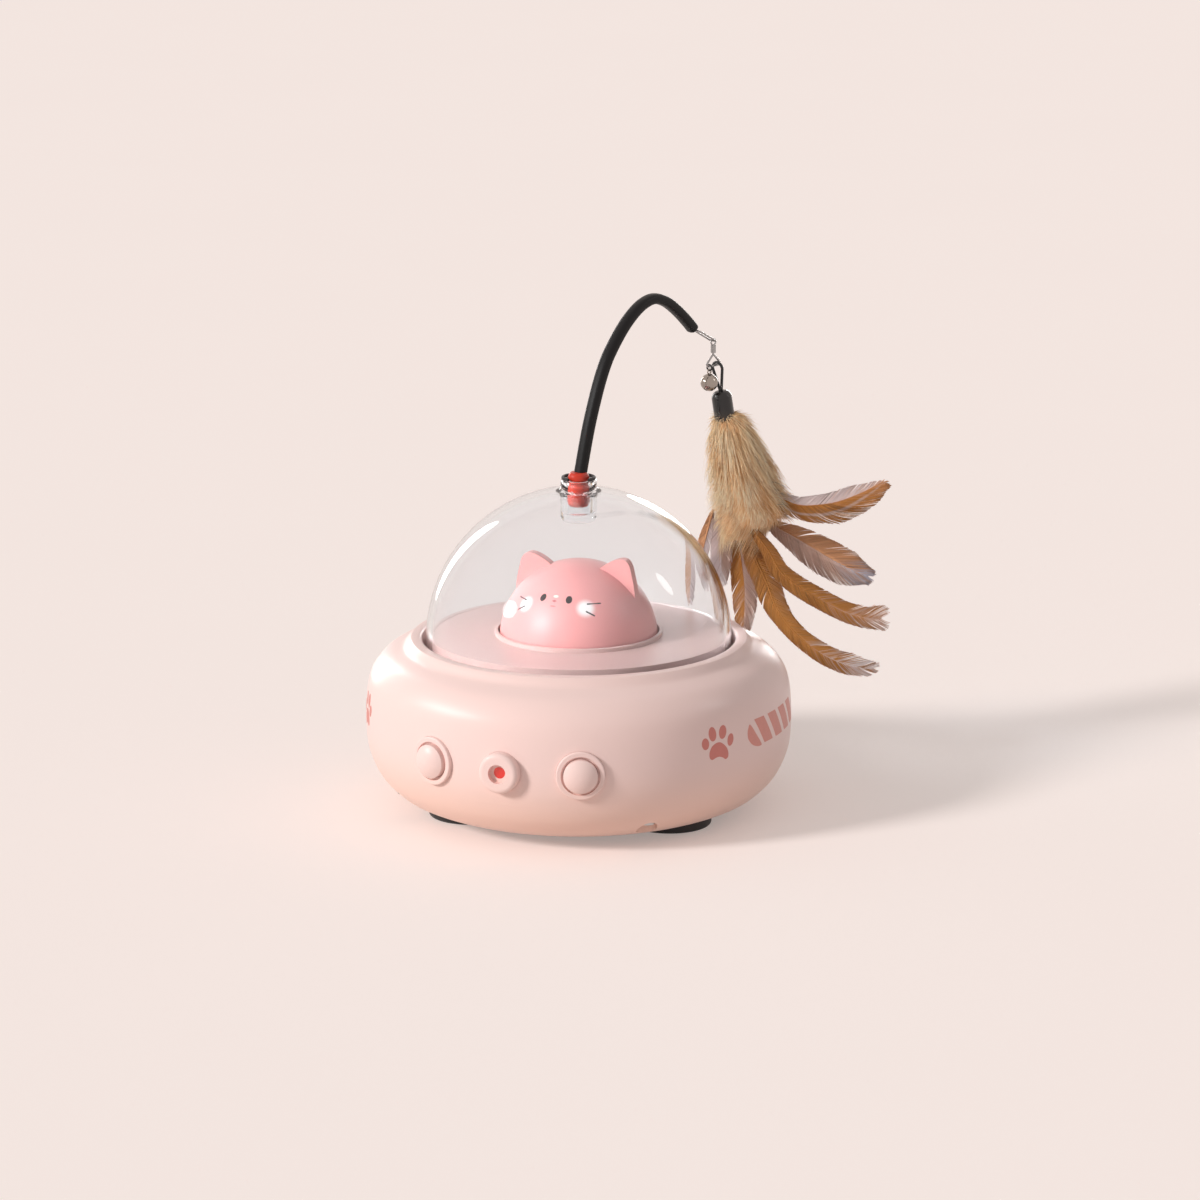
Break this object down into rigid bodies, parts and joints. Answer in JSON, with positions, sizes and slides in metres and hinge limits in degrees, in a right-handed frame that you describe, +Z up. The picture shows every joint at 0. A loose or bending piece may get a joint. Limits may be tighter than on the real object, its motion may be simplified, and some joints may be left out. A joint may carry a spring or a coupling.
{
  "type": "automatic cat toy",
  "caption": "Round motor-driven cat toy: a clear dome turns on a housing round a fixed cat head and swings a bent wand with a bell and a fur-and-feather lure; buttons and a laser in front.",
  "frame": {"origin": "on the floor, on the axis of the round housing", "axes": "+Z up; -Y is the front, with the laser between the two buttons; +X is the toy's right-hand side seen from the front"},
  "size_m": [0.154, 0.1584, 0.1691],
  "materials": {
    "body": "smooth moulded, soft gloss, pale pink",
    "plate": "smooth moulded, soft gloss, dusty pink",
    "head": "smooth moulded, soft gloss, pink",
    "clear": "clear moulded plastic, polished",
    "lens_red": "clear red, polished",
    "rubber": "matt black",
    "steel": "plain, bright",
    "bell": "polished",
    "inner": "matt white",
    "dark_plastic": "matt black",
    "board": "lacquered green",
    "battery": "film-wrapped, blue",
    "plug": "soft moulded, orange-red",
    "wand": "matt charcoal",
    "cord_black": "smooth black",
    "cap": "glossy black",
    "fur": "long soft tan fur with pale tips",
    "feather_gold": "golden-brown barbs, soft",
    "feather_grey": "grey-brown barbs with blue-grey tips, soft"
  },
  "bodies": {
    "base": {"upper_housing": "body", "lower_housing": "body", "foot_1": "rubber", "foot_2": "rubber", "foot_3": "rubber", "housing_screws": "steel", "deck": "inner", "deck_screws": "steel", "thrust_washer": "inner", "post_clip": "steel", "head_carrier": "inner", "head_screw": "steel", "cat_head": "head", "laser_bezel": "body", "laser_lens": "lens_red", "laser_module": "steel", "button_collar_left": "body", "button_collar_right": "body", "switch_left": "dark_plastic", "switch_right": "dark_plastic", "switch_board_left": "board", "switch_board_right": "board", "control_board": "board", "control_parts": "dark_plastic", "charge_port": "steel", "board_screws": "steel", "battery": "battery", "battery_cradle": "inner", "battery_contacts": "steel", "drive_motor": "steel", "motor_bracket": "steel"},
    "turntable": {"turntable_plate": "plate", "drive_gear": "inner", "dome": "clear", "socket_ring": "rubber"},
    "pinion_set": {"motor_shaft": "steel", "pinion": "inner"},
    "left_button": {"button_left": "body", "plunger_left": "dark_plastic"},
    "right_button": {"button_right": "body", "plunger_right": "dark_plastic"},
    "wand_set": {"wand_plug": "plug", "wand": "wand", "wand_eye": "steel"},
    "swivel_set": {"swivel": "steel"},
    "hook_set": {"snap_hook": "steel"},
    "bell_set": {"bell": "bell", "bell_ring": "cord_black", "bell_pellet": "steel"},
    "lure_set": {"lure_loop": "cord_black", "lure_cap": "cap", "fur_bunch": "fur", "feather_1": "feather_gold", "feather_2": "feather_grey", "feather_3": "feather_gold", "feather_4": "feather_gold", "feather_5": "feather_gold", "feather_6": "feather_grey", "feather_7": "feather_grey"}
  },
  "joints": [
    {"name": "turntable_spin", "type": "hinge", "parent": "base", "child": "turntable", "pos_m": [0, 0, 0.05], "axis": [0, 0, 1], "continuous": true},
    {"name": "pinion_spin", "type": "hinge", "parent": "base", "child": "pinion_set", "pos_m": [-0.02705, 0, 0.045], "axis": [0, 0, 1], "continuous": true},
    {"name": "button_left_press", "type": "slide", "parent": "base", "child": "left_button", "axis": [0.3584, 0.9336, 0], "range_m": [0, 0.0008], "stiffness_N_per_m": 1500, "springref_m": -0.0002},
    {"name": "button_right_press", "type": "slide", "parent": "base", "child": "right_button", "axis": [-0.3584, 0.9336, 0], "range_m": [0, 0.0008], "stiffness_N_per_m": 1500, "springref_m": -0.0002},
    {"name": "wand_pull", "type": "slide", "parent": "turntable", "child": "wand_set", "axis": [0, 0, 1], "range_m": [0, 0.0115]},
    {"name": "swivel_swing", "type": "hinge", "parent": "wand_set", "child": "swivel_set", "pos_m": [0.02679, 0.05879, 0.14923], "axis": [0.91, -0.4147, 0], "range_deg": [-1, 35]},
    {"name": "hook_twist", "type": "hinge", "parent": "swivel_set", "child": "hook_set", "pos_m": [0.02679, 0.05879, 0.14423], "axis": [0, 0, 1], "range_deg": [-20, 20]},
    {"name": "bell_swing", "type": "hinge", "parent": "hook_set", "child": "bell_set", "pos_m": [0.02601, 0.05706, 0.14063], "axis": [0.4147, 0.91, 0], "range_deg": [-30, 30]},
    {"name": "lure_swing", "type": "hinge", "parent": "hook_set", "child": "lure_set", "pos_m": [0.02758, 0.06052, 0.14063], "axis": [0.4147, 0.91, 0], "range_deg": [-30, 30]}
  ],
  "couplings": [
    {"joint": "pinion_spin", "follows": "turntable_spin", "ratio": -2.8571}
  ]
}
